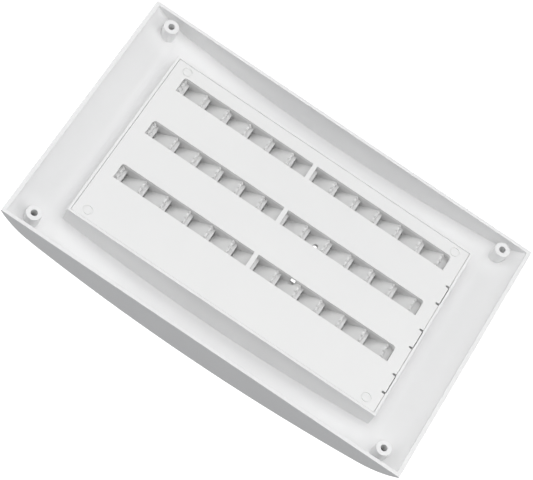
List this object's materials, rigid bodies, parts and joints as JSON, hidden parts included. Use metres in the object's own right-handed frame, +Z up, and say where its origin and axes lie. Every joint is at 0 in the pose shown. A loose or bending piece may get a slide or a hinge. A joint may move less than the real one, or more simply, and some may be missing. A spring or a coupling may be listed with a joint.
{
  "type": "vent cover",
  "caption": "Arched rectangular ceiling vent cover with corner screw bosses, a duct collar, a slotted louvre plate and a sliding damper.",
  "frame": {"origin": "middle of the mounting face, where the rim meets the ceiling and the four screws pass", "axes": "+Z up out of the mounting face towards the roof, X along the cover, Y across it; the arched face hangs below"},
  "size_m": [0.3, 0.195, 0.0291],
  "materials": {
    "shell_plastic": "semi-gloss moulded white",
    "plate_plastic": "semi-gloss moulded white",
    "damper_plastic": "satin moulded white",
    "knob_plastic": "satin moulded white",
    "screw_steel": "zinc plated",
    "screen_mesh": "woven wire"
  },
  "bodies": {
    "cover": {"cover_shell": "shell_plastic", "screw_caps": "shell_plastic", "guide_rail_left": "damper_plastic", "guide_rail_right": "damper_plastic", "rail_screws": "screw_steel", "insect_screen_near": "screen_mesh", "insect_screen_far": "screen_mesh"},
    "damper": {"damper_slide": "damper_plastic", "damper_knob": "knob_plastic", "knob_retainer": "damper_plastic", "knob_screws": "screw_steel"},
    "plate": {"louvre_plate": "plate_plastic"}
  },
  "joints": [
    {"name": "damper_travel", "type": "slide", "parent": "cover", "child": "damper", "axis": [0, -1, 0], "range_m": [0, 0.0144]},
    {"name": "plate_lift", "type": "hinge", "parent": "cover", "child": "plate", "pos_m": [-0.11505, 0, -0.0003], "axis": [0, -1, 0], "range_deg": [0, 35]}
  ]
}
